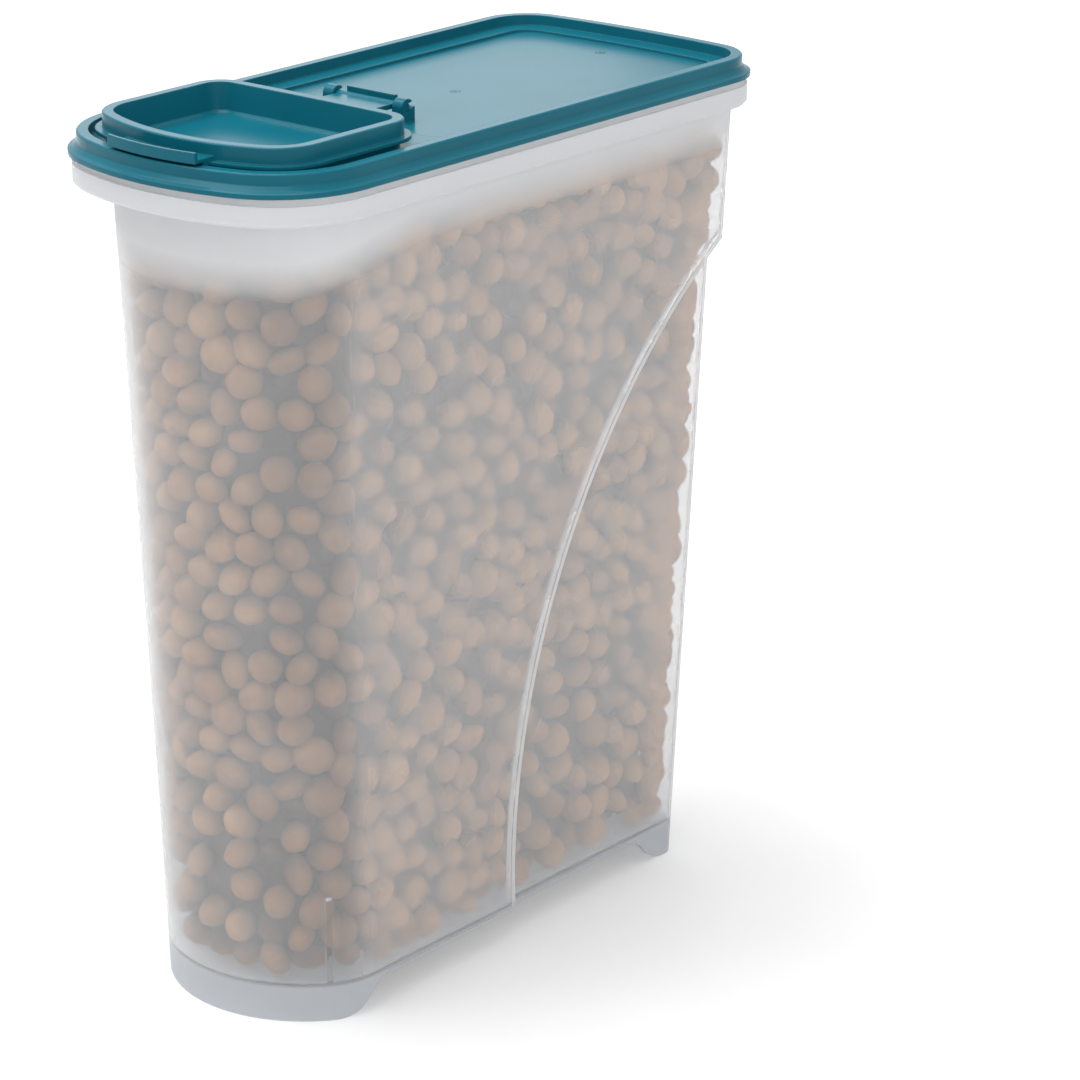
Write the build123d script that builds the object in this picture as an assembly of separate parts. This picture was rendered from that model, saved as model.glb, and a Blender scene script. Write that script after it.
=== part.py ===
from build123d import *
import math
import os
from dataclasses import dataclass, replace

# A pet food keeper: a tall narrow frosted tub on two foot skirts, a press-on lid with a
# pouring opening at its bowed front end, and a flap that plugs the opening and swings over.
# Millimetres. +Z is up, the pouring end faces -Y, and the origin is on the ground below
# the middle of the lid, which is the longest and widest piece.

# The radius of an end that is as good as straight
nearly_straight = 1500.0

# The lid's outline, measured at the bead round its bottom edge
lid_length = 252.0
lid_width = 118.0
lid_top = 300.0
front_bow = 17.0
rear_bow = 4.0
front_corner = 36.0
rear_corner = 22.0

# The lid's rim: a channel that is pressed over the tub's lip
lid_wall = 1.1
lid_floor_thickness = 1.4
rim_inset = 2.9
rim_band = 4.0
rim_depth = 4.0
rim_edge_bevel = 0.5
panel_margin = 7.6
panel_drop = 0.8
panel_front = -35.0
panel_corner = 9.0

# The bead round the rim's bottom edge: a lip that flares out of the wall
rim_skirt = 7.4
bead_lip_height = 1.5
bead_slope_run = 1.5
bead_slope_height = 0.7
bead_root_height = 1.5

# The tub's mouth: the wall steps out to a collar and in again to a lip inside the lid's channel
lip_thickness = 1.2
lip_clearance = 0.3
seat_gap = 0.3
collar_inset = 1.1
collar_step_inset = 2.2
collar_step_height = 2.4
collar_drop = 9.5
collar_floor = 2.2
collar_edge_bevel = 1.0
collar_root_bevel = 2.6

# The tub's body, drawn in from the lid's outline at the mouth and leaning in to the ground
tub_wall = 1.8
mouth_side_inset = 9.3
mouth_front_inset = 10.4
mouth_rear_inset = 9.2
mouth_front_bow = 23.4
mouth_front_corner = 31.7
foot_front_bow = 26.8
foot_front_corner = 27.2
side_lean = 5.5
side_trim = 0.02
front_lean = 7.7
rear_lean = 18.0
body_rear_corner = 7.0

# The hand grip: the rear half of the body is drawn in behind a curved step with a soft edge
grip_depth = 3.4
grip_step_run = 0.6
grip_edge_run = 3.0
grip_edge_depth = 1.0
grip_centre_y = 250.8
grip_centre_z = 26.3
grip_radius = 250.2

# The raised floor, the two foot skirts and the arch between them
floor_height = 12.0
floor_thickness = 1.8
front_foot_end = -88.0
rear_foot_end = 88.0
arch_run = 12.0

# Short ribs inside the two front bottom corners
rib_height = 33.0
rib_thickness = 2.2
rib_depth = 3.0
rib_lean = 1.6
rib_angle = 37.0

# The pouring opening's collar and the flap that closes over it
flap_width = 89.2
flap_front = -115.0
flap_rear = -45.8
flap_bow = 12.1
flap_front_corner = 17.1
flap_rear_corner = 10.4
flap_rise = 6.1
flap_wall = 1.1
flap_skirt = 6.6
flap_edge_bevel = 0.4
flap_bead_reach = 2.3
flap_bead_height = 1.2
flap_clearance = 0.3
dish_wall = 1.0
dish_depth = 10.2
dish_draft = 1.2
dish_bevel = 1.0
spout_wall = 1.1
spout_top_gap = 0.4

# The flap's hinge: a rod on a tongue, held in two snap clips on the lid
hinge_y = -21.5
hinge_above_panel = 5.1
rod_radius = 1.4
rod_clearance = 0.06
rod_end_gap = 0.4
clip_radius = 2.9
clip_inner_x = 13.4
clip_width = 4.4
clip_base_rear = 3.4
clip_slot = 2.2
clip_slot_tilt = 18.0
tongue_side_gap = 0.8
tongue_thickness = 1.6
stop_rib_inset = 1.8
stop_rib_reach = 2.8
stop_rib_rise = 2.9
stop_rib_thickness = 1.3

# The flap's pull tab
tab_width = 39.0
tab_reach = 8.2
tab_thickness = 1.2
tab_rim_gap = 0.9
tab_lip_height = 3.6
tab_lip_thickness = 1.2
tab_fin_reach = 4.0
tab_fin_thickness = 1.2

# Heights and insets that follow from the sizes above
rim_underside = lid_top - lid_floor_thickness
lid_floor_top = lid_top - rim_depth
lid_floor_bottom = lid_floor_top - lid_floor_thickness
panel_top = lid_floor_top - panel_drop
panel_bottom = panel_top - lid_floor_thickness
bead_bottom = lid_top - rim_skirt
ledge_top = bead_bottom - seat_gap
lip_top = rim_underside - seat_gap
collar_bottom = ledge_top - collar_drop
floor_top = floor_height + floor_thickness
flap_top = lid_top + flap_rise
flap_band_underside = flap_top - flap_wall
flap_skirt_bottom = flap_top - flap_skirt
dish_floor_top = flap_top - dish_depth
dish_floor_bottom = dish_floor_top - flap_wall
spout_top = flap_band_underside - spout_top_gap
hinge_z = panel_top + hinge_above_panel
lip_outer_inset = rim_inset + lid_wall + lip_clearance
lip_inner_inset = lip_outer_inset + lip_thickness
rim_inner_inset = rim_inset + rim_band
spout_outer_inset = flap_wall + flap_clearance
spout_inner_inset = spout_outer_inset + spout_wall
dish_outer_inset = spout_inner_inset + flap_clearance
dish_inner_inset = dish_outer_inset + dish_wall
past = 2.0


@dataclass
class Outline:
    """A closed plan outline: straight sides, rounded corners and an arc across each end."""

    half_width: float
    front: float
    rear: float
    front_arc: float
    rear_arc: float
    front_corner: float
    rear_corner: float

    def inset(self, distance):
        return Outline(
            self.half_width - distance,
            self.front + distance,
            self.rear - distance,
            self.front_arc - distance,
            self.rear_arc - distance,
            self.front_corner - distance,
            self.rear_corner - distance,
        )

    def corner(self, apex, arc, radius, side):
        """The corner on the +X side: its points on the side, halfway and on the end arc."""
        arc_centre = apex - side * arc
        centre_x = self.half_width - radius
        rise = math.sqrt((arc - radius) ** 2 - centre_x**2)
        centre = Vector(centre_x, arc_centre + side * rise)
        sweep = math.atan2(rise, centre_x)
        on_side = centre + Vector(radius, 0)
        halfway = centre + Vector(math.cos(sweep / 2), side * math.sin(sweep / 2)) * radius
        on_arc = centre + Vector(math.cos(sweep), side * math.sin(sweep)) * radius
        return on_side, halfway, on_arc

    def wire(self, height):
        front_side, front_mid, front_arc = self.corner(
            self.front, self.front_arc, self.front_corner, -1
        )
        rear_side, rear_mid, rear_arc = self.corner(
            self.rear, self.rear_arc, self.rear_corner, 1
        )

        def flip(point):
            return Vector(-point.X, point.Y)

        edges = [
            Line(front_side, rear_side),
            ThreePointArc(rear_side, rear_mid, rear_arc),
            ThreePointArc(rear_arc, Vector(0, self.rear), flip(rear_arc)),
            ThreePointArc(flip(rear_arc), flip(rear_mid), flip(rear_side)),
            Line(flip(rear_side), flip(front_side)),
            ThreePointArc(flip(front_side), flip(front_mid), flip(front_arc)),
            ThreePointArc(flip(front_arc), Vector(0, self.front), front_arc),
            ThreePointArc(front_arc, front_mid, front_side),
        ]
        return Pos(0, 0, height) * Wire(edges)


def arc_through(half_width, bow):
    """Radius of the arc that rises by bow over a chord of twice half_width."""
    return (half_width**2 + bow**2) / (2 * bow)


def between(low, high, share):
    return low + (high - low) * share


def prism(outline, bottom, top):
    return Solid.extrude(Face(outline.wire(bottom)), Vector(0, 0, top - bottom))


def drafted(outline, wide, narrow, draft):
    """A tapering form: the outline at one height, drawn in evenly by draft at the other."""
    height = abs(narrow - wide)
    lean = math.degrees(math.atan2(draft, height))
    turn = 1 if narrow > wide else -1
    form = Solid.extrude_taper(Face(outline.wire(turn * wide)), Vector(0, 0, height), lean)
    return form if turn > 0 else Rot(0, 180, 0) * form


def bevelled(outline, bottom, top, low_bevel=0, high_bevel=0):
    """A prism with a bevel of the same run and rise at its bottom or top edge, or at both."""
    form = prism(outline, bottom + low_bevel, top - high_bevel)
    if low_bevel:
        form += drafted(outline, bottom + low_bevel, bottom, low_bevel)
    if high_bevel:
        form += drafted(outline, top - high_bevel, top, high_bevel)
    return form


lid_outline = Outline(
    lid_width / 2,
    -lid_length / 2,
    lid_length / 2,
    arc_through(lid_width / 2, front_bow),
    arc_through(lid_width / 2, rear_bow),
    front_corner,
    rear_corner,
)
flap_outline = Outline(
    flap_width / 2,
    flap_front,
    flap_rear,
    arc_through(flap_width / 2, flap_bow),
    nearly_straight,
    flap_front_corner,
    flap_rear_corner,
)


mouth_half = lid_width / 2 - mouth_side_inset
foot_half = mouth_half - side_lean
mouth_rear = lid_length / 2 - mouth_rear_inset


def body_outline(height):
    """The tub's outline at a height. It runs on past the rear wall, which is cut across it."""
    share = height / ledge_top
    foot_arc = arc_through(foot_half, foot_front_bow)
    mouth_arc = arc_through(mouth_half, mouth_front_bow)
    return Outline(
        between(foot_half, mouth_half, share),
        -lid_length / 2 + mouth_front_inset + front_lean * (1 - share),
        mouth_rear + lid_width,
        between(foot_arc, mouth_arc, share),
        nearly_straight,
        between(foot_front_corner, mouth_front_corner, share),
        rear_corner,
    )


def side_plane(inset):
    """The right side wall's plane, which leans outwards. Its z axis points out of the tub."""
    lean = math.atan2(side_lean, ledge_top)
    return Plane((foot_half - inset, 0, 0), x_dir=(0, 1, 0), z_dir=(math.cos(lean), 0, -math.sin(lean)))


def body_form(inset, corner):
    """The tub's form without the grip, inset all over, with upright corners at the rear."""
    foot = body_outline(0).inset(inset)
    mouth = body_outline(ledge_top).inset(inset)
    form = Solid.make_loft([foot.wire(0), mouth.wire(ledge_top)], ruled=True)
    # The sides are cut a hair inside the loft, so that they are true flat faces
    inside = Box(4 * lid_length, 4 * lid_top, 4 * lid_width, align=(Align.CENTER, Align.CENTER, Align.MAX))
    right_side = side_plane(inset + side_trim) * inside
    form = form & right_side & mirror(right_side, about=Plane.YZ)
    lean = math.degrees(math.atan2(rear_lean, ledge_top))
    ahead = Box(4 * lid_width, 4 * lid_length, 4 * ledge_top, align=(Align.CENTER, Align.MAX, Align.CENTER))
    form = form & (Pos(0, mouth_rear - inset, ledge_top) * Rot(-lean, 0, 0) * ahead)
    uprights = form.edges().filter_by(lambda edge: edge.bounding_box().size.Z > ledge_top / 2)
    return fillet(uprights.sort_by(Axis.Y)[-2:], corner)


def grip_zone(inset):
    """What the hand grip takes in: on each side a broad cylinder, square to the drawn-in wall,
    with a rim that slopes out from that wall."""
    radius = grip_radius + inset
    steep_top = grip_depth - grip_edge_depth
    profile = Polyline(
        (0, -lid_width),
        (radius, -lid_width),
        (radius, 0),
        (radius + grip_step_run, steep_top),
        (radius + grip_step_run + 2 * grip_edge_run, steep_top + 2 * grip_edge_depth),
        (0, steep_top + 2 * grip_edge_depth),
        close=True,
    )
    disc = revolve(Plane.XZ * make_face(profile), Axis.Z)
    wall = side_plane(inset + grip_depth)
    one_side = Box(lid_width, 4 * lid_length, 4 * lid_top, align=(Align.MIN, Align.CENTER, Align.CENTER))
    half = (wall * Pos(grip_centre_y, grip_centre_z) * disc) & one_side
    return half + mirror(half, about=Plane.YZ)


def tub_form(inset):
    """The tub's form with the grip, inset all over."""
    corner = body_rear_corner - inset
    drawn_in = body_form(inset + grip_depth, corner)
    return body_form(inset, corner) - (grip_zone(inset) - drawn_in)


def corner_rib(side):
    """A rib left standing in the cavity at a front bottom corner."""
    wall = body_outline(floor_top).inset(tub_wall)
    arc_centre = wall.front + wall.front_arc
    centre_x = wall.half_width - wall.front_corner
    rise = math.sqrt((wall.front_arc - wall.front_corner) ** 2 - centre_x**2)
    inner = wall.front_corner - rib_depth
    rib_top = floor_top + rib_height
    profile = Polyline(
        (inner, floor_top - past),
        (inner + rib_lean, rib_top - rib_depth),
        (wall.front_corner + tub_wall, rib_top),
        (wall.front_corner + tub_wall, floor_top - past),
        close=True,
    )
    rib = extrude(Plane.XZ * make_face(profile), amount=rib_thickness / 2, both=True)
    rib = Pos(centre_x, arc_centre - rise) * Rot(0, 0, -rib_angle) * rib
    return rib if side > 0 else mirror(rib, about=Plane.YZ)


def arch_cut():
    """The opening across the tub between the foot skirts, with an S-shaped end at each."""
    half = floor_height / 2

    def foot_curve(start, direction):
        low = TangentArc((start, 0), (start + direction * arch_run, half), tangent=(direction, 0))
        high = TangentArc(low @ 1, (start + 2 * direction * arch_run, floor_height), tangent=low % 1)
        return low, high

    front_low, front_high = foot_curve(front_foot_end, 1)
    rear_low, rear_high = foot_curve(rear_foot_end, -1)
    top = Line(front_high @ 1, rear_high @ 1)
    closing = Polyline(rear_low @ 0, (rear_foot_end, -past), (front_foot_end, -past), front_low @ 0)
    outline = Wire([front_low, front_high, top, rear_high, rear_low, *closing.edges()])
    return extrude(Plane.YZ * Face(outline), amount=lid_width, both=True)


def make_tub():
    outer = tub_form(0)
    step_z = ledge_top - collar_step_height
    collar = bevelled(lid_outline.inset(collar_inset), collar_bottom, step_z, collar_edge_bevel)
    collar += prism(lid_outline.inset(collar_step_inset), step_z, ledge_top)
    tub = outer + collar
    flat_faces = tub.faces().filter_by(Axis.Z)
    underside = flat_faces.sort_by(lambda face: abs(face.center().Z - collar_bottom))[0]
    tub = chamfer(underside.inner_wires()[0].edges(), collar_root_bevel)
    tub += prism(lid_outline.inset(lip_outer_inset), ledge_top, lip_top)

    floor = Pos(0, 0, (floor_height + floor_top) / 2) * Box(lid_width, lid_length, floor_thickness)
    cavity = tub_form(tub_wall) - floor
    for side in (-1, 1):
        cavity -= corner_rib(side)
    mouth = prism(lid_outline.inset(lip_inner_inset), collar_bottom + collar_floor, lip_top + past)
    return tub - cavity - mouth - arch_cut()


def panel_outline(grow):
    """The sunk panel behind the opening: parallel to the rim, with a straight front edge."""
    sides = lid_outline.inset(rim_inner_inset + panel_margin - grow)
    return replace(
        sides,
        front=panel_front - grow,
        front_arc=nearly_straight,
        front_corner=panel_corner + grow,
    )


def hinge_clip(side):
    """A snap clip for the flap's rod, open towards the rear."""
    clip_x = clip_inner_x + clip_width / 2
    ring = Pos(hinge_y, hinge_z) * Circle(clip_radius)
    foot_height = hinge_z - panel_top
    foot = Pos(hinge_y + (clip_base_rear - clip_radius) / 2, hinge_z - foot_height / 2) * Rectangle(
        clip_radius + clip_base_rear, foot_height
    )
    slot = (
        Pos(hinge_y, hinge_z)
        * Rot(0, 0, clip_slot_tilt)
        * Pos(clip_radius, 0)
        * Rectangle(2 * clip_radius, clip_slot)
    )
    bore = Pos(hinge_y, hinge_z) * Circle(rod_radius + rod_clearance)
    section = ring + foot - slot - bore
    return Pos(side * clip_x, 0, 0) * extrude(Plane.YZ * section, amount=clip_width / 2, both=True)


def rim_bead():
    """The lip that flares out round the rim's bottom edge and blends into the wall above."""
    lip_top_z = bead_bottom + bead_lip_height
    slope_top = lip_top_z + bead_slope_height
    root = lid_outline.inset(bead_slope_run)
    bead = prism(lid_outline, bead_bottom, lip_top_z)
    bead += drafted(lid_outline, lip_top_z, slope_top, bead_slope_run)
    return bead + drafted(root, slope_top, slope_top + bead_root_height, rim_inset - bead_slope_run)


def make_lid():
    rim_inner = lid_outline.inset(rim_inner_inset)
    rim = bevelled(
        lid_outline.inset(rim_inset), bead_bottom, lid_top, high_bevel=rim_edge_bevel
    )
    rim -= prism(rim_inner, lid_floor_top, lid_top + past)
    lid = rim + rim_bead()

    channel_inner = lid_outline.inset(rim_inner_inset - lid_wall)
    channel = prism(lid_outline.inset(rim_inset + lid_wall), bead_bottom - past, rim_underside)
    lid -= channel - prism(channel_inner, lid_floor_bottom, rim_underside + past)
    lid -= prism(channel_inner, bead_bottom - past, lid_floor_bottom)

    lid += prism(panel_outline(lid_wall), panel_bottom, lid_floor_bottom + lid_floor_thickness / 2)
    lid -= prism(panel_outline(0), panel_top, lid_floor_top + past)

    lid += prism(flap_outline.inset(spout_outer_inset), lid_floor_bottom, spout_top)
    lid -= prism(flap_outline.inset(spout_inner_inset), lid_floor_bottom - past, spout_top + past)

    for side in (-1, 1):
        lid += hinge_clip(side)
    return lid


def pull_tab():
    """The plate over the lid's rim, its upturned lip and the two fins under its ends."""
    plate_bottom = lid_top + tab_rim_gap
    strip = Pos(0, flap_front) * Box(tab_width, 2 * (tab_reach + flap_front_corner), 4 * lid_top)
    tip = flap_outline.inset(-tab_reach)
    root = flap_outline.inset(flap_wall / 2)
    plate = prism(tip, plate_bottom, plate_bottom + tab_thickness)
    plate = plate - prism(root, plate_bottom - past, plate_bottom + tab_thickness + past)
    lip_top_z = plate_bottom + tab_lip_height
    lip = prism(tip, plate_bottom, lip_top_z)
    lip = lip - prism(tip.inset(tab_lip_thickness), plate_bottom - past, lip_top_z + past)
    fin_reach = flap_outline.inset(-tab_fin_reach)
    fins = prism(fin_reach, flap_skirt_bottom, plate_bottom)
    fins = fins - prism(root, flap_skirt_bottom - past, plate_bottom + past)
    inner_strip = Box(tab_width - 2 * tab_fin_thickness, 2 * lid_length, 4 * lid_top)
    return ((plate + lip) & strip) + ((fins & strip) - inner_strip)


def make_flap():
    flap = bevelled(flap_outline, flap_skirt_bottom, flap_top, high_bevel=flap_edge_bevel)
    bead_outline = flap_outline.inset(-flap_bead_reach)
    flap += prism(bead_outline, flap_skirt_bottom, flap_skirt_bottom + flap_bead_height)
    flap -= prism(flap_outline.inset(flap_wall), flap_skirt_bottom - past, flap_band_underside)
    flap += drafted(flap_outline.inset(dish_outer_inset), flap_top, dish_floor_bottom, dish_draft)
    dish_edge = dish_floor_top + dish_bevel
    flap -= drafted(flap_outline.inset(dish_inner_inset), flap_top, dish_edge, dish_draft)
    dish_floor = flap_outline.inset(dish_inner_inset + dish_draft)
    flap -= drafted(dish_floor, dish_edge, dish_floor_top, dish_bevel)

    tongue_half = clip_inner_x - tongue_side_gap
    tongue_root = flap_rear - flap_wall
    tongue_tip = hinge_y + stop_rib_reach
    tongue = Pos(0, (tongue_root + tongue_tip) / 2, hinge_z) * Box(
        2 * tongue_half, tongue_tip - tongue_root, tongue_thickness
    )
    rod_length = 2 * (clip_inner_x + clip_width - rod_end_gap)
    rod = Pos(0, hinge_y, hinge_z) * Rot(0, 90, 0) * Cylinder(rod_radius, rod_length)
    stop_rib = Pos(0, tongue_tip - stop_rib_thickness / 2, hinge_z + stop_rib_rise / 2) * Box(
        2 * (tongue_half - stop_rib_inset), stop_rib_thickness, stop_rib_rise
    )
    return flap + tongue + rod + stop_rib + pull_tab()


os.makedirs("parts", exist_ok=True)
pieces = {"tub": make_tub(), "lid": make_lid(), "pour_flap": make_flap()}
for name, piece in pieces.items():
    piece.label = name
    export_step(piece, f"parts/{name}.step")
    box = piece.bounding_box()
    print(name, len(piece.solids()), "solid", round(piece.volume / 1000, 1), "cm3", box.size)
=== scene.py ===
# %% [markdown]
# # A frosted dry food keeper with a teal pouring lid
#
# The real object is three plastic mouldings: a frosted see-through tub, a teal lid that is
# pressed over its mouth, and a teal flap that plugs the pouring opening. Their shapes come
# from the CAD frame, so Blender's work here is what they are made of, the dry food that
# shows through the tub's wall, the light and the camera. Everything is in metres.

# %% Load the CAD frame
import math
import random

import bmesh
import bpy
import numpy as np
from mathutils import Matrix, Vector, noise
from mathutils.bvhtree import BVHTree
from mathutils.kdtree import KDTree


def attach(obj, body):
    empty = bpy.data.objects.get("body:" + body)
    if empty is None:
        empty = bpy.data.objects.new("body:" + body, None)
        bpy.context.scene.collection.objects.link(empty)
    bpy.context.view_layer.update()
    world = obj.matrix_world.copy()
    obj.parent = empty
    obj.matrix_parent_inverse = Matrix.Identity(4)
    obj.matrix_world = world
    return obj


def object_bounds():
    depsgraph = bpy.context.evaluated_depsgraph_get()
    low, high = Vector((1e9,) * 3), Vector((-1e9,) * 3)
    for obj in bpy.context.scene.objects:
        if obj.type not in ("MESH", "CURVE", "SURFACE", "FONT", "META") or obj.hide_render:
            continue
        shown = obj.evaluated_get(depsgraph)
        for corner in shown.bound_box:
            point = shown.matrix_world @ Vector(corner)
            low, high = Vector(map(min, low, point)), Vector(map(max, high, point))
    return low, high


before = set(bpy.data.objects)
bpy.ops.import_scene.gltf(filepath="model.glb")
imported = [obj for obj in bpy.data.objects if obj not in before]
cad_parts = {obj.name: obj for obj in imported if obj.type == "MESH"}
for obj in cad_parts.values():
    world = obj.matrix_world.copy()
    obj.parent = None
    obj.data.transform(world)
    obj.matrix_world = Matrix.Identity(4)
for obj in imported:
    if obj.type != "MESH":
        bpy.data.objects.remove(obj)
cad_low, cad_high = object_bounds()
tub, lid, pour_flap = (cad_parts[name] for name in ("tub", "lid", "pour_flap"))
print("CAD box", tuple(cad_low), tuple(cad_high))

# %% [markdown]
# ## The camera
#
# The photograph looks down on the keeper's front right corner from about a metre and a
# quarter away. The place and the lens were fitted to the lid's and the foot's outlines.
# A long lens, as in a product shot, keeps the upright edges nearly parallel. The camera's
# own axes are built from its heading, tilt and roll, which is easier to read than angles
# that Blender would turn in its fixed order.

# %% Camera
camera_place = Vector((0.841743, -0.923000, 0.591897))
camera_heading = math.radians(40.414)
camera_tilt = math.radians(-19.934)
camera_roll = math.radians(-0.203)
focal_length = 126.67
sensor_width = 36.0

forward = Vector(
    (
        -math.sin(camera_heading) * math.cos(camera_tilt),
        math.cos(camera_heading) * math.cos(camera_tilt),
        math.sin(camera_tilt),
    )
)
level_right = Vector((math.cos(camera_heading), math.sin(camera_heading), 0))
level_up = level_right.cross(forward)
right = level_right * math.cos(camera_roll) + level_up * math.sin(camera_roll)
up = level_up * math.cos(camera_roll) - level_right * math.sin(camera_roll)

camera_data = bpy.data.cameras.new("camera")
camera_data.lens = focal_length
camera_data.sensor_width = sensor_width
camera = bpy.data.objects.new("camera", camera_data)
bpy.context.scene.collection.objects.link(camera)
camera_axes = Matrix((right, up, -forward)).transposed().to_4x4()
camera.matrix_world = Matrix.Translation(camera_place) @ camera_axes
bpy.context.scene.camera = camera
print("camera looks along", tuple(round(part, 3) for part in forward))

# %% [markdown]
# ## Small helpers for materials
#
# Every finish is a tree of nodes, which would be long to write out one by one. A few short
# helpers keep the trees readable: they start a material, make a node with its inputs set,
# and give simple maths, noise of a real size, a value mapped to another range, and a mix of
# two colours.


# %% Node helpers
def new_material(name):
    """A material with an empty tree and its output node."""
    material = bpy.data.materials.new(name)
    material.use_nodes = True
    tree = material.node_tree
    tree.nodes.clear()
    output = tree.nodes.new("ShaderNodeOutputMaterial")
    return material, tree, output


def add(tree, kind, **settings):
    """A node with its inputs set by name, spaces written as underscores."""
    node = tree.nodes.new(kind)
    for name, value in settings.items():
        label = name.replace("_", " ")
        if label in node.inputs:
            node.inputs[label].default_value = value
        else:
            setattr(node, name, value)
    return node


def maths(tree, operation, first, second):
    """A Math node on two values, each a socket or a number."""
    node = add(tree, "ShaderNodeMath", operation=operation)
    for socket, value in zip(node.inputs, (first, second)):
        if isinstance(value, (int, float)):
            socket.default_value = value
        else:
            tree.links.new(value, socket)
    return node.outputs["Value"]


def grain(tree, size, detail=2.0):
    """Noise whose blobs are about size metres across."""
    place = add(tree, "ShaderNodeTexCoord")
    texture = add(tree, "ShaderNodeTexNoise", Scale=1 / size, Detail=detail)
    tree.links.new(place.outputs["Object"], texture.inputs["Vector"])
    return texture.outputs["Fac"]


def spread(tree, source, low, high, from_low=0.3, from_high=0.7):
    """Maps a value to low..high. The usual range is the middle of a noise's values."""
    node = add(tree, "ShaderNodeMapRange")
    tree.links.new(source, node.inputs["Value"])
    node.inputs["From Min"].default_value = from_low
    node.inputs["From Max"].default_value = from_high
    node.inputs["To Min"].default_value = low
    node.inputs["To Max"].default_value = high
    return node.outputs["Result"]


def mixed_colour(tree, factor, first, second):
    """A mix of two colours, the first of which may also be a socket."""
    node = add(tree, "ShaderNodeMix", data_type="RGBA")
    tree.links.new(factor, node.inputs["Factor"])
    if isinstance(first, tuple):
        node.inputs["A"].default_value = (*first, 1)
    else:
        tree.links.new(first, node.inputs["A"])
    node.inputs["B"].default_value = (*second, 1)
    return node.outputs["Result"]


print("node helpers are ready, materials so far", len(bpy.data.materials))

# %% [markdown]
# ## Gate marks
#
# Where the melt enters the mould, a real lid keeps a shallow round dimple with a broken-off
# pip in its middle. Three show on the lid's centre line and one on the flap's underside,
# which is seen when the flap is open. They are a few tenths of a millimetre deep, so they
# are made as height in the bump: the distance from each gate's centre drives a dip and a
# small raised pip. A faint orange peel over the whole surface is part of the same height.

# %% Gate marks
mark_radius = 0.0019
mark_flat_radius = mark_radius * 0.75
mark_depth = 0.00030
pip_radius = 0.0007
pip_flat_radius = pip_radius * 0.4
pip_height = 0.00040
peel_height = 0.000003

panel_height = 0.2952
band_height = 0.2960
below_flap = 0.2939
lid_marks = [(0, 0.0995, panel_height), (0, 0.0220, panel_height), (0, -0.0388, band_height)]
flap_marks = [(0, -0.0800, below_flap)]


def gate_marks(tree, peel, marks):
    """Bump height in metres: the orange peel with a dimple and a pip at each mark."""
    height = maths(tree, "MULTIPLY", peel, peel_height)
    place = add(tree, "ShaderNodeTexCoord")
    for mark in marks:
        away = add(tree, "ShaderNodeVectorMath", operation="DISTANCE")
        tree.links.new(place.outputs["Object"], away.inputs[0])
        away.inputs[1].default_value = mark
        distance = away.outputs["Value"]
        dip = spread(tree, distance, -mark_depth, 0, from_low=mark_flat_radius, from_high=mark_radius)
        pip = spread(tree, distance, pip_height, 0, from_low=pip_flat_radius, from_high=pip_radius)
        height = maths(tree, "ADD", height, maths(tree, "ADD", dip, pip))
    return height


print("gate marks on the lid and the flap", len(lid_marks), len(flap_marks))

# %% [markdown]
# ## Teal plastic
#
# The lid and the flap are injection moulded from one coloured plastic, semi-gloss with a
# very faint orange peel. It could be a plain glossy colour, but a moulding is never that
# even: the tint drifts a little with the flow, edges catch the light, and fine grain breaks
# the reflections. Noise at three scales drives tint, roughness and bump, and the Bevel
# node rounds the shading of the CAD's sharp edges, as the polished steel mould rounds them.

# %% Teal plastic
teal = (0.003, 0.112, 0.160)
teal_pale = (0.006, 0.130, 0.182)
teal_edge_radius = 0.0006
flow_size, peel_size, speck_size = 0.045, 0.0028, 0.0012
teal_smoothest, teal_roughest = 0.21, 0.26


def teal_plastic(name, marks):
    """The teal finish. Each mark is the centre of a moulding gate's small round scar."""
    material, tree, output = new_material(name)
    links = tree.links
    flow = grain(tree, flow_size)
    speck = grain(tree, speck_size)
    peel = grain(tree, peel_size, detail=1.0)
    shader = add(tree, "ShaderNodeBsdfPrincipled", IOR=1.45, Specular_IOR_Level=0.16)
    tint = mixed_colour(tree, spread(tree, flow, 0, 1), teal, teal_pale)
    links.new(tint, shader.inputs["Base Color"])
    links.new(spread(tree, speck, teal_smoothest, teal_roughest), shader.inputs["Roughness"])
    edges = add(tree, "ShaderNodeBevel", samples=6, Radius=teal_edge_radius)
    bump = add(tree, "ShaderNodeBump", Strength=1.0, Distance=1.0)
    links.new(gate_marks(tree, peel, marks), bump.inputs["Height"])
    links.new(edges.outputs["Normal"], bump.inputs["Normal"])
    links.new(bump.outputs["Normal"], shader.inputs["Normal"])
    links.new(shader.outputs["BSDF"], output.inputs["Surface"])
    return material


for node, marks in ((lid, lid_marks), (pour_flap, flap_marks)):
    finish = teal_plastic(f"teal_{node.name}", marks)
    for place in node.material_slots:
        place.material = finish
    print(node.name, "wears", finish.name, "with gate marks:", len(marks))

# %% [markdown]
# ## Frosted polypropylene
#
# The tub is natural polypropylene about two millimetres thick. The plastic itself is a little
# milky and its surface is satin, so what touches the wall shows fairly well and what lies
# deeper melts into a haze. Plain transparency would show the food too crisply. So the wall is
# rough glass, which blurs with distance, mixed with a milky share that is lit from both
# sides. In the photograph the bowed pouring end looks clearer than the flat sides, and the
# collar and the foot look nearly solid, so the milky share follows the way a surface faces
# and its height. It also grows where the wall is seen at a slant, as the path through the
# plastic gets longer there.

# %% Amounts for the frosted wall
milk = (0.88, 0.89, 0.905)
# The foot's milk is tinted darker as a painted shade, for the shadow the foot stands in.
painted_foot_shade = (0.65, 0.675, 0.71)
clear_tint = (0.95, 0.96, 0.97)
shadow_tint = (0.86, 0.86, 0.86)
lit_share = 0.70

front_milk, side_milk, back_milk, step_milk = 0.20, 0.27, 0.42, 0.80
collar_milk, foot_milk, edge_milk = 0.80, 0.60, 0.45
milk_drift = 0.02
edge_sharpness = 3

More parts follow.
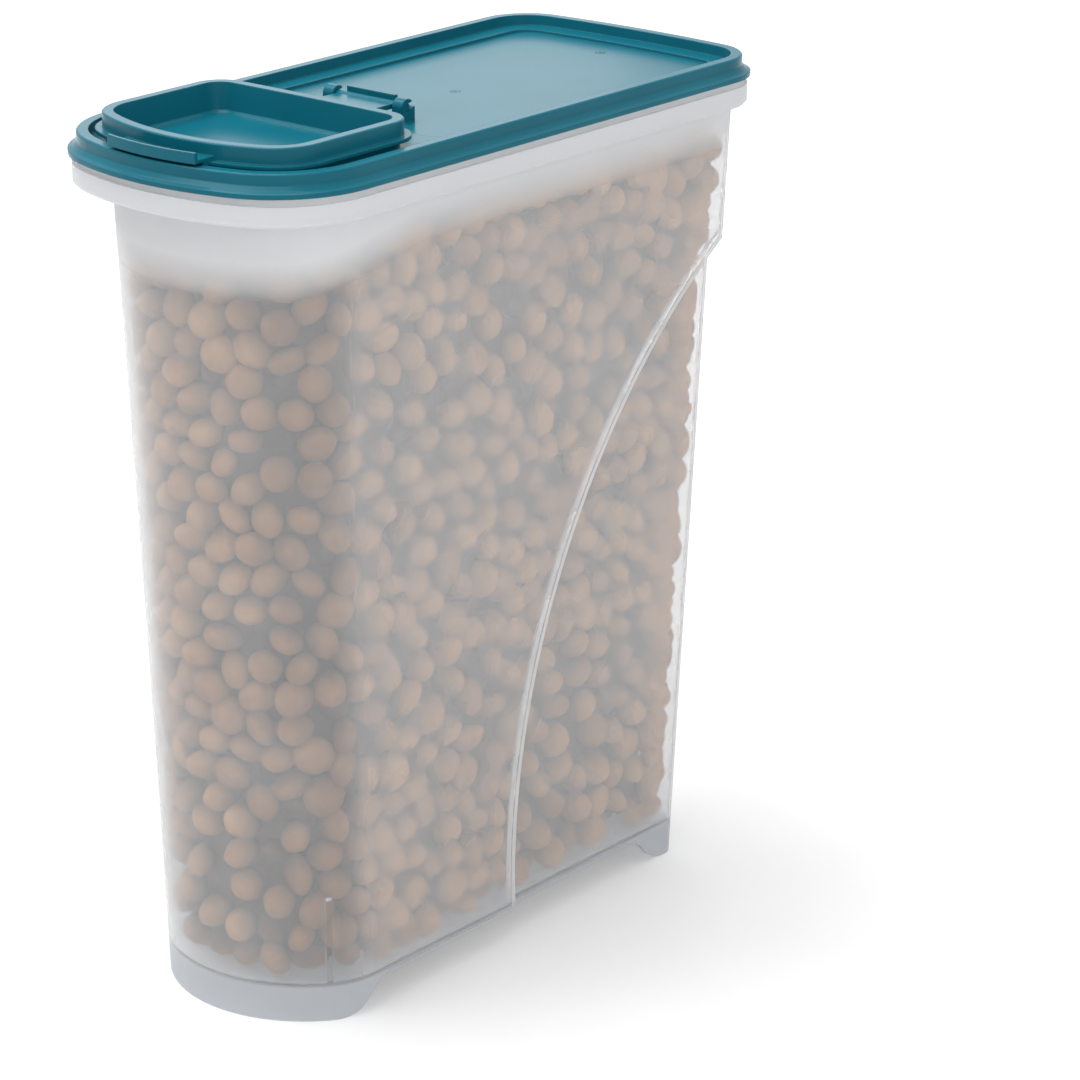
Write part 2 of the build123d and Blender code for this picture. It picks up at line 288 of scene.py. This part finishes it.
collar_starts, collar_full = 0.261, 0.278
collar_lower_in_front = 0.010
nose_ends, nose_starts = -0.100, -0.050
foot_full, foot_ends = 0.0125, 0.0145

front_rough, side_rough = 0.12, 0.10
rough_drift = 0.015
satin_size, cloud_size = 0.0009, 0.030

# How much of a surface's direction points sideways, or to the rear, where its look changes.
side_facing = {"from_low": 0.90, "from_high": 0.995}
step_facing = {"from_low": 0.05, "from_high": 0.25}
back_facing = {"from_low": 0.80, "from_high": 0.95}
print("milky share of the front, the sides and the back", front_milk, side_milk, back_milk)


# %% Frosted polypropylene
def clear_part(tree, sideways, fine):
    """Rough glass with a fine satin bump."""
    rough = spread(tree, sideways, front_rough, side_rough, **side_facing)
    rough = maths(tree, "ADD", rough, spread(tree, fine, -rough_drift, rough_drift))
    clear = add(tree, "ShaderNodeBsdfPrincipled", IOR=1.45)
    clear.inputs["Transmission Weight"].default_value = 1.0
    clear.inputs["Base Color"].default_value = (*clear_tint, 1)
    tree.links.new(rough, clear.inputs["Roughness"])
    bump = add(tree, "ShaderNodeBump", Strength=0.3, Distance=0.00002)
    tree.links.new(fine, bump.inputs["Height"])
    tree.links.new(bump.outputs["Normal"], clear.inputs["Normal"])
    return clear.outputs["BSDF"]


def milky_part(tree, in_foot):
    """The haze in the plastic, lit from outside and from behind, greyed in the foot by a painted shade.
    """
    tint = mixed_colour(tree, in_foot, milk, painted_foot_shade)
    lit = add(tree, "ShaderNodeBsdfDiffuse")
    through = add(tree, "ShaderNodeBsdfTranslucent")
    tree.links.new(tint, lit.inputs["Color"])
    tree.links.new(tint, through.inputs["Color"])
    milky = add(tree, "ShaderNodeMixShader", Fac=lit_share)
    tree.links.new(through.outputs["BSDF"], milky.inputs[1])
    tree.links.new(lit.outputs["BSDF"], milky.inputs[2])
    return milky.outputs["Shader"]


def milky_share(tree, faces, where, sideways, in_foot):
    """The largest of the shares that the wall, collar, foot, slant, step and back ask for."""
    share = spread(tree, sideways, front_milk, side_milk, **side_facing)
    drift = spread(tree, grain(tree, cloud_size), -milk_drift, milk_drift)
    share = maths(tree, "ADD", share, drift)
    nearer_front = spread(
        tree, where.outputs["Y"], collar_lower_in_front, 0, from_low=nose_ends, from_high=nose_starts
    )
    raised = maths(tree, "ADD", where.outputs["Z"], nearer_front)
    collar = spread(tree, raised, 0, collar_milk, from_low=collar_starts, from_high=collar_full)
    foot = maths(tree, "MULTIPLY", in_foot, foot_milk)
    slant = add(tree, "ShaderNodeLayerWeight", Blend=0.5)
    steep = maths(tree, "POWER", slant.outputs["Facing"], edge_sharpness)
    edge = maths(tree, "MULTIPLY", steep, edge_milk)
    step = spread(tree, faces.outputs["Y"], 0, step_milk, **step_facing)
    back = spread(tree, faces.outputs["Y"], step_milk, back_milk, **back_facing)
    for thicker in (collar, foot, edge, maths(tree, "MINIMUM", step, back)):
        share = maths(tree, "MAXIMUM", share, thicker)
    return share


def frosted_plastic(name):
    """The tub's finish. Lamps shine through it, so that the food inside is lit."""
    material, tree, output = new_material(name)
    links = tree.links
    place = add(tree, "ShaderNodeTexCoord")
    faces = add(tree, "ShaderNodeSeparateXYZ")
    links.new(place.outputs["Normal"], faces.inputs["Vector"])
    sideways = maths(tree, "ABSOLUTE", faces.outputs["X"], 0)
    where = add(tree, "ShaderNodeSeparateXYZ")
    links.new(place.outputs["Object"], where.inputs["Vector"])
    in_foot = spread(tree, where.outputs["Z"], 1, 0, from_low=foot_full, from_high=foot_ends)

    wall = add(tree, "ShaderNodeMixShader")
    links.new(milky_share(tree, faces, where, sideways, in_foot), wall.inputs["Fac"])
    links.new(clear_part(tree, sideways, grain(tree, satin_size)), wall.inputs[1])
    links.new(milky_part(tree, in_foot), wall.inputs[2])

    open_to_lamps = add(tree, "ShaderNodeBsdfTransparent", Color=(*shadow_tint, 1))
    path = add(tree, "ShaderNodeLightPath")
    either = add(tree, "ShaderNodeMixShader")
    links.new(path.outputs["Is Shadow Ray"], either.inputs["Fac"])
    links.new(wall.outputs["Shader"], either.inputs[1])
    links.new(open_to_lamps.outputs["BSDF"], either.inputs[2])
    links.new(either.outputs["Shader"], output.inputs["Surface"])
    return material


frosted = frosted_plastic("frosted_tub_plastic")
for place in tub.material_slots:
    place.material = frosted
print("tub wears", frosted.name)

# %% [markdown]
# ## Where the dry food can lie
#
# The food isn't a piece of the keeper, but the tub looks as it does only because of what
# shows through it. A physics drop of a few thousand pieces would take minutes, and only the
# layers next to the wall are seen. So pieces start on a close-packed grid inside the
# cavity, and only those near a wall, the floor or the food's top are kept. The tub's own
# mesh says where the wall is.

# %% Where the dry food can lie
random.seed(11)
noise.seed_set(11)
food_pitch = 0.0121
food_layers_deep = 0.0200
wall_touch = 0.0060
least_start_gap = 0.003
cavity_floor = 0.0138
food_top_front, food_top_rear = 0.262, 0.275
food_top_waves = 0.004
waves_per_metre = 25

wall_tree = BVHTree.FromPolygons(
    [vertex.co for vertex in tub.data.vertices], [face.vertices for face in tub.data.polygons]
)
side_ways = [Vector(way) for way in ((1, 0, 0), (-1, 0, 0), (0, 1, 0), (0, -1, 0), (0, 0, -1))]


def food_surface(point):
    """Height of the food's top, which was poured in from the rear and slopes to the front."""
    share = (point.y - cad_low.y) / (cad_high.y - cad_low.y)
    waves = food_top_waves * noise.noise(Vector((point.x, point.y, 0)) * waves_per_metre)
    return food_top_front + (food_top_rear - food_top_front) * share + waves


def in_cavity(point):
    """True where a look in each direction meets a wall from its inner side."""
    for way in side_ways:
        hit, normal, index, distance = wall_tree.ray_cast(point, way)
        if hit is None or normal.dot(way) > 0:
            return False
    return True


def wall_gap(point):
    """How far the nearest wall is, and the direction away from it."""
    hit, normal, index, distance = wall_tree.find_nearest(point)
    away = point - hit
    if away.dot(normal) < 0:
        return -away.length, normal
    return away.length, away.normalized() if away.length > 1e-7 else normal


def start_grid():
    """Close-packed points next to the walls, the floor and the food's top."""
    points = []
    row_step = food_pitch * math.sqrt(3) / 2
    layer_step = food_pitch * math.sqrt(2 / 3)
    layers = int((food_top_rear + food_top_waves - cavity_floor) / layer_step)
    rows = int((cad_high.y - cad_low.y) / row_step)
    columns = int((cad_high.x - cad_low.x) / food_pitch)
    for layer in range(layers + 1):
        for row in range(rows + 1):
            for column in range(columns + 1):
                across = cad_low.x + (column + 0.5 * ((row + layer) % 2)) * food_pitch
                along = cad_low.y + row * row_step + (layer % 2) * row_step / 3
                point = Vector((across, along, cavity_floor + wall_touch + layer * layer_step))
                under_top = food_surface(point) - point.z
                if under_top < 0 or not in_cavity(point):
                    continue
                gap = wall_gap(point)[0]
                if gap > least_start_gap and min(gap, under_top) < food_layers_deep:
                    points.append(point)
    return points


food_points = start_grid()
print("food pieces on the grid", len(food_points))

# %% [markdown]
# ## Loosening the packing
#
# A grid would show as rows. Each point is nudged at random, then for some rounds crowded
# points push each other apart while the outer ones are drawn to the wall, which gives the
# uneven packing of poured food. The two rear corners would keep gaps that show against the
# white floor, so a few pieces more go up each of them.

# %% Loosen the packing
start_jitter = 0.34
rounds = 20
crowd_push, wall_push, wall_draw, top_draw = 0.28, 0.8, 0.25, 0.5
draw_reach = wall_touch + food_pitch * 0.45


def nudge(points):
    """Moves each point at random, unless that would put it outside the cavity."""
    for index, point in enumerate(points):
        nudged = point + Vector([random.uniform(-1, 1) for axis in range(3)]) * food_pitch * start_jitter
        if in_cavity(nudged):
            points[index] = nudged


def pushed(point, index, tree):
    """One point's step: away from its neighbours, to the wall, and below the food's top."""
    push = Vector()
    for other, which, distance in tree.find_range(point, food_pitch):
        if which != index and distance > 1e-6:
            push += (point - other) * (crowd_push * (food_pitch - distance) / distance)
    gap, away = wall_gap(point)
    if gap < wall_touch:
        push += away * (wall_touch - gap) * wall_push
    elif gap < draw_reach:
        push -= away * (gap - wall_touch) * wall_draw
    over = point.z - food_surface(point)
    if over > 0:
        push.z -= over * top_draw
    return point + push


def loosen(points):
    """Nudges the points and lets them settle."""
    nudge(points)
    for turn in range(rounds):
        tree = KDTree(len(points))
        for index, point in enumerate(points):
            tree.insert(point, index)
        tree.balance()
        points = [pushed(point, index, tree) for index, point in enumerate(points)]
    return points


corner_step = 0.0065
corner_inset = wall_touch * 1.7
corner_looks_from = 0.03
corner_angles = range(30, 76, 3)


def corner_fill():
    """Points in small steps up both rear corners. The farthest wall of a fan is the corner."""
    points = []
    height = cavity_floor + wall_touch
    while height < food_top_rear - wall_touch:
        for side in (-1, 1):
            middle = Vector((0, corner_looks_from, height))
            looks = []
            for angle in map(math.radians, corner_angles):
                way = Vector((side * math.cos(angle), math.sin(angle), 0))
                looks.append((wall_tree.ray_cast(middle, way)[3], way))
            distance, way = max(looks, key=lambda look: look[0])
            points.append(middle + way * (distance - corner_inset))
        height += corner_step
    return points


food_points = loosen(food_points) + corner_fill()
print("food pieces with the corners", len(food_points))

# %% [markdown]
# ## One piece of dry food
#
# A real piece is a rounded disc, 12 to 16 mm across and 8 to 11 mm thick, pressed and then
# tumbled, so no two are the same. A dozen variants of a slightly lumpy pillow are made from
# an icosphere, and each place in the pile gets one of them, turned and scaled at random.
# The outer layer gets fine spheres and the hidden layers get coarse ones.

# %% One piece of dry food
shape_count = 12
seed_step = 7.3
fullness = 0.86
big_lumps, small_lumps = 0.07, 0.03
fine_steps, coarse_steps = 3, 2


def food_shape(steps, seed):
    """Points and faces of a lumpy pillow that fits a unit ball."""
    ball = bmesh.new()
    bmesh.ops.create_icosphere(ball, subdivisions=steps, radius=1)
    points = []
    for vertex in ball.verts:
        place = vertex.co.copy()
        rim = math.hypot(place.x, place.y)
        if rim > 1e-6:
            fuller = rim**fullness / rim
            place.x *= fuller
            place.y *= fuller
        lumps = 1 + big_lumps * noise.noise(vertex.co * 1.3 + Vector((seed, 0, 0)))
        lumps += small_lumps * noise.noise(vertex.co * 3.1 + Vector((0, seed, 0)))
        points.append(place * lumps * 0.95)
    faces = [[vertex.index for vertex in face.verts] for face in ball.faces]
    ball.free()
    return np.array(points), np.array(faces)


fine_shapes = [food_shape(fine_steps, seed_step * seed) for seed in range(shape_count)]
coarse_shapes = [food_shape(coarse_steps, seed_step * seed) for seed in range(shape_count)]
print("faces of a fine piece", len(fine_shapes[0][1]), "and of a coarse one", len(coarse_shapes[0][1]))

# %% [markdown]
# ## Placing the pieces
#
# Each place in the pile gets a piece that is turned at random, though one that lies against
# the wall tends to lie flat to it, as discs do. A turned ellipsoid reaches a known distance
# towards the wall, so an outer piece can be set to touch the wall without going through it.
# Where a corner still leaves it too little room, the piece shrinks a little.

# %% Place the pieces
disc_radius = (0.0061, 0.0079)
disc_half_thickness = (0.0042, 0.0053)
narrowest = 0.80
flatness_to_wall = 0.85
wall_clearance = 0.00025
outer_layer = 0.0092
least_room = 0.001
rng = random.Random(23)


def random_way():
    """A direction with no preference."""
    return Vector([rng.gauss(0, 1) for axis in range(3)]).normalized()


def food_turn(away, near_wall):
    """A random turn whose short axis leans to the wall's direction in the outer layer."""
    short = random_way()
    if near_wall:
        short = (short + away * rng.choice((-1, 1)) * flatness_to_wall).normalized()
    first = short.orthogonal().normalized()
    spin = rng.uniform(0, math.tau)
    turned = first * math.cos(spin) + short.cross(first) * math.sin(spin)
    return Matrix((turned, short.cross(turned), short)).transposed()


def reach_along(turn, half, way):
    """How far a turned ellipsoid reaches from its centre along a direction."""
    local = turn.transposed() @ way
    return math.sqrt(sum((size * part) ** 2 for size, part in zip(half, local)))


def place_piece(point):
    """Turn, half sizes and centre of the piece at a point, and whether it is an outer one."""
    gap, away = wall_gap(point)
    near_wall = gap < outer_layer
    turn = food_turn(away, near_wall)
    long_radius = rng.uniform(*disc_radius)
    broad_radius = long_radius * rng.uniform(narrowest, 1.0)
    half = Vector((long_radius, broad_radius, rng.uniform(*disc_half_thickness)))
    if near_wall:
        for attempt in range(2):
            point = point + away * (reach_along(turn, half, away) + wall_clearance - gap)
            gap, away = wall_gap(point)
    for attempt in range(3):
        reach = reach_along(turn, half, away)
        if reach + wall_clearance <= gap:
            break
        point = point + away * (reach + wall_clearance - gap)
        gap, away = wall_gap(point)
    if reach + wall_clearance > gap:
        half *= max(gap - wall_clearance, least_room) / reach
    for way in side_ways:
        room = wall_tree.ray_cast(point, way)[3] or least_room
        reach = reach_along(turn, half, way)
        if reach + wall_clearance > room:
            half *= max(room - wall_clearance, least_room) / reach
    return turn, half, point, near_wall


placed_food = sorted((place_piece(point) for point in food_points), key=lambda place: place[2].z)
print("outer pieces", sum(near_wall for turn, half, point, near_wall in placed_food))

# %% [markdown]
# ## Joining the pieces
#
# Thousands of objects would be slow, so all the pieces are joined into a few meshes, one
# above the other. Each piece keeps a tone of its own, and each point its depth below the
# wall or the food's top, as values on the mesh's points that the material can read.

# %% Join the pieces
food_parts = 4
depth_full = 0.0084


def depths(points):
    """How deep each point lies under the nearest wall or the food's top, from 0 to 1."""
    found = []
    for point in map(Vector, points):
        hit, normal, index, distance = wall_tree.find_nearest(point)
        found.append(min(1, max(0, min(distance, food_surface(point) - point.z) / depth_full)))
    return found


def food_mesh(name, places):
    """One mesh of many pieces, with each piece's tone and its points' depths as attributes."""
    all_points, all_faces, tones, count = [], [], [], 0
    for turn, half, centre, near_wall in places:
        shapes = fine_shapes if near_wall else coarse_shapes
        points, faces = shapes[rng.randrange(shape_count)]
        placed = (points * np.array(half)) @ np.array(turn.transposed()) + np.array(centre)
        all_points.append(placed)
        all_faces.append(faces + count)
        tones.append(np.full(len(points), rng.random()))
        count += len(points)
    mesh = bpy.data.meshes.new(name)
    points = np.concatenate(all_points).tolist()
    mesh.from_pydata(points, [], np.concatenate(all_faces).tolist())
    mesh.attributes.new("tone", "FLOAT", "POINT").data.foreach_set("value", np.concatenate(tones))
    mesh.attributes.new("depth", "FLOAT", "POINT").data.foreach_set("value", depths(points))
    mesh.shade_smooth()
    piece = bpy.data.objects.new(name, mesh)
    bpy.context.scene.collection.objects.link(piece)
    return piece


per_part = math.ceil(len(placed_food) / food_parts)
kibble = [
    food_mesh(f"kibble_layer_{part + 1}", placed_food[part * per_part : (part + 1) * per_part])
    for part in range(food_parts)
]
print("faces in each part of the food", [len(piece.data.polygons) for piece in kibble])

# %% [markdown]
# ## The heart of the fill
#
# Behind the modelled layers the tub is full too, but nothing there is seen singly. A lumpy
# block, wholly in the painted shade of the food's depths, closes the view between the
# pieces. It is built from rings: looks in a circle from the tub's middle find the wall, and
# each ring's points stop short of it.

# %% The heart of the fill
heart_inset = 0.0090
heart_above_floor = heart_inset * 0.6
heart_rings, heart_points = 14, 40
heart_lumps = 0.0015
lumps_per_metre = 90
flattest_look = 0.35


def heart_ring(heart, height):
    """One ring of points, each short of the wall by the same gap square to the wall."""
    ring = []
    middle = Vector((0, 0, height))
    for turn in range(heart_points):
        angle = math.tau * turn / heart_points
        way = Vector((math.cos(angle), math.sin(angle), 0))
        hit, normal, index, distance = wall_tree.ray_cast(middle, way)
        inset = heart_inset / max(flattest_look, abs(normal.dot(way)))
        lump = heart_lumps * noise.noise(hit * lumps_per_metre)
        ring.append(heart.verts.new(middle + way * (distance - inset + lump)))
    return ring


def heart_mesh():
    """The rings joined by faces and closed at both ends."""
    heart = bmesh.new()
    low = cavity_floor + heart_above_floor
    high = food_top_front - heart_inset
    rings = [
        heart_ring(heart, low + (high - low) * step / (heart_rings - 1)) for step in range(heart_rings)
    ]
    for below, above in zip(rings, rings[1:]):
        for turn in range(heart_points):
            after = (turn + 1) % heart_points
            heart.faces.new((below[turn], below[after], above[after], above[turn]))
    heart.faces.new(list(reversed(rings[0])))
    heart.faces.new(rings[-1])
    mesh = bpy.data.meshes.new("kibble_heart")
    heart.to_mesh(mesh)
    # Full depth at every point gives the heart the painted deep shade all over.
    mesh.attributes.new("depth", "FLOAT", "POINT").data.foreach_set("value", [1.0] * len(mesh.vertices))
    heart.free()
    return mesh


heart = bpy.data.objects.new("kibble_heart", heart_mesh())
bpy.context.scene.collection.objects.link(heart)
print("heart of the fill", len(heart.data.vertices), "points")

# %% [markdown]
# ## Baked dry food
#
# Extruded food is matt, grainy and speckled: brown where the crust browned, paler where it
# rubbed, with darker crumbs. Each piece's own tone sets how well baked it is, fine noise
# adds the crumbs, and bump makes the crust rough. Light hardly gets in between the pieces,
# so a painted shade also darkens the tone with a point's depth in the pile.

# %% Baked dry food
crust_dark, crust_light = (0.30, 0.135, 0.050), (0.56, 0.300, 0.120)
crumb_dark = (0.17, 0.080, 0.036)
painted_deep_shade = (0.055, 0.036, 0.030)
tone_share, blotch_share, crumb_share = 0.65, 0.35, 0.55
blotch_size, crumb_size = 0.004, 0.0007
food_smoothest, food_roughest = 0.65, 0.85


def baked_food(name):
    """The food's finish: tone and blotches, then crumbs, then the painted shade between the pieces."""
    material, tree, output = new_material(name)
    links = tree.links
    tone = add(tree, "ShaderNodeAttribute", attribute_name="tone")
    depth = add(tree, "ShaderNodeAttribute", attribute_name="depth")
    crumbs = grain(tree, crumb_size, detail=3.0)
    own = maths(tree, "MULTIPLY", tone.outputs["Fac"], tone_share)
    baked = maths(tree, "ADD", own, spread(tree, grain(tree, blotch_size), 0, blotch_share))
    crust = mixed_colour(tree, baked, crust_dark, crust_light)
    crumbly = spread(tree, crumbs, 0, crumb_share, from_low=0.55, from_high=0.75)
    speckled = mixed_colour(tree, crumbly, crust, crumb_dark)
    # Painted shade: the colour goes dark with a point's depth under the wall or the food's top.
    deep = spread(tree, depth.outputs["Fac"], 0, 1, from_low=0.15, from_high=1.0)
    shader = add(tree, "ShaderNodeBsdfPrincipled", IOR=1.4)
    links.new(mixed_colour(tree, deep, speckled, painted_deep_shade), shader.inputs["Base Color"])
    links.new(spread(tree, crumbs, food_smoothest, food_roughest), shader.inputs["Roughness"])
    bump = add(tree, "ShaderNodeBump", Strength=0.6, Distance=0.0004)
    links.new(crumbs, bump.inputs["Height"])
    links.new(bump.outputs["Normal"], shader.inputs["Normal"])
    links.new(shader.outputs["BSDF"], output.inputs["Surface"])
    return material


food_finish = baked_food("baked_dry_food")
for piece in [*kibble, heart]:
    piece.data.materials.append(food_finish)
    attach(piece, "tub_body")
print("the food rides with the tub in", len(kibble) + 1, "meshes")

# %% [markdown]
# ## Floor
# The photograph stands on seamless white. A floor that turned up into a wall would need more
# light to look white, and that light would spoil the object. Instead the paper floor glows
# a little, but only to the camera, in gloss and through clear plastic. The glow is weak near
# the object, where it keeps the lamps' soft shadow and paints a darker shade round the
# object, and grows with distance until the paper is white.

# %% Floor
floor_half = 6.0
floor_white = (0.77, 0.77, 0.775)
floor_pale = (0.80, 0.80, 0.80)
paper_cloud_size = 0.08
# The glow nearest the object is kept weak to paint shade round it.
floor_glow_near_painted_shade, floor_glow_far = 0.19, 0.56
glow_starts, glow_full = 0.15, 0.75


def sees_background(tree):
    """1 for rays from the camera, in gloss and through clear plastic, 0 for all others."""
    path = add(tree, "ShaderNodeLightPath")
    seen = maths(tree, "MAXIMUM", path.outputs["Is Camera Ray"], path.outputs["Is Glossy Ray"])
    return maths(tree, "MAXIMUM", seen, path.outputs["Is Transmission Ray"])


def floor_paper(name):
    """Matt paper with faint clouds, plus the glow that only some rays see."""
    material, tree, output = new_material(name)
    links = tree.links
    paper = add(tree, "ShaderNodeBsdfPrincipled", Roughness=0.9, IOR=1.3)
    clouds = spread(tree, grain(tree, paper_cloud_size), 0, 1)
    links.new(mixed_colour(tree, clouds, floor_white, floor_pale), paper.inputs["Base Color"])
    away = add(tree, "ShaderNodeVectorMath", operation="LENGTH")
    links.new(add(tree, "ShaderNodeTexCoord").outputs["Object"], away.inputs[0])
    distance = away.outputs["Value"]
    # Painted shade: the glow is weaker near the object, so the floor there shows darker.
    there = spread(
        tree, distance, floor_glow_near_painted_shade, floor_glow_far, from_low=glow_starts, from_high=glow_full
    )
    glow = add(tree, "ShaderNodeEmission")
    links.new(maths(tree, "MULTIPLY", sees_background(tree), there), glow.inputs["Strength"])
    both = add(tree, "ShaderNodeAddShader")
    links.new(paper.outputs["BSDF"], both.inputs[0])
    links.new(glow.outputs["Emission"], both.inputs[1])
    links.new(both.outputs["Shader"], output.inputs["Surface"])
    return material


corners = [(x * floor_half, y * floor_half, 0) for x, y in ((-1, -1), (1, -1), (1, 1), (-1, 1))]
floor_mesh = bpy.data.meshes.new("floor")
floor_mesh.from_pydata(corners, [], [(0, 1, 2, 3)])
floor_mesh.materials.append(floor_paper("white_floor"))
floor = bpy.data.objects.new("floor", floor_mesh)
bpy.context.scene.collection.objects.link(floor)
print("floor is", 2 * floor_half, "m wide")

# %% [markdown]
# ## World
#
# The world is the soft light that a white studio gives from all sides. The object is lit by
# it at one strength, and the camera, gloss and clear plastic see it as plain white, so the
# background needs no more light on the object.

# %% World
ambient = 0.68
world = bpy.data.worlds.new("studio")
world.use_nodes = True
bpy.context.scene.world = world
tree = world.node_tree
tree.nodes.clear()
output = tree.nodes.new("ShaderNodeOutputWorld")
lights = add(tree, "ShaderNodeBackground", Color=(1, 1, 1, 1), Strength=ambient)
white = add(tree, "ShaderNodeBackground", Color=(1, 1, 1, 1), Strength=1.0)
either = add(tree, "ShaderNodeMixShader")
tree.links.new(sees_background(tree), either.inputs["Fac"])
tree.links.new(lights.outputs["Background"], either.inputs[1])
tree.links.new(white.outputs["Background"], either.inputs[2])
tree.links.new(either.outputs["Shader"], output.inputs["Surface"])
print("world lights at", ambient, "and shows white")

# %% [markdown]
# ## Soft studio lamps
#
# A large soft box above gives the top its light and the object its shadow. A second one,
# from the right and in front, lifts the long side. A small weak one stands low behind on
# the left, where the lid mirrors it to the camera, and gives the lid's panel its sheen.


# %% Soft studio lamps
def soft_box(name, place, target, width, height, watts):
    """A rectangular lamp at a place, turned to face a target."""
    data = bpy.data.lights.new(name, "AREA")
    data.shape = "RECTANGLE"
    data.size = width
    data.size_y = height
    data.energy = watts
    lamp = bpy.data.objects.new(name, data)
    bpy.context.scene.collection.objects.link(lamp)
    lamp.location = place
    lamp.rotation_euler = (Vector(target) - Vector(place)).to_track_quat("-Z", "Y").to_euler()
    return lamp


tub_middle = (0, 0, 0.15)
lid_middle = (0, -0.02, 0.295)
lamps = [
    soft_box("top_box", (-0.30, -0.20, 1.30), tub_middle, width=1.0, height=1.0, watts=15.0),
    soft_box("front_box", (1.35, -0.65, 0.90), tub_middle, width=0.9, height=0.9, watts=5.5),
    soft_box("back_box", (-0.62, 0.62, 0.62), lid_middle, width=0.34, height=0.36, watts=0.28),
]
print("lamps", [lamp.name for lamp in lamps])

# %% [markdown]
# ## Colours as they are written
#
# The Standard view shows a colour as it is written. Blender's usual view would lower the
# contrast and turn the white background grey.

# %% Colours as they are written
bpy.context.scene.view_settings.view_transform = "Standard"
print("view transform", bpy.context.scene.view_settings.view_transform)
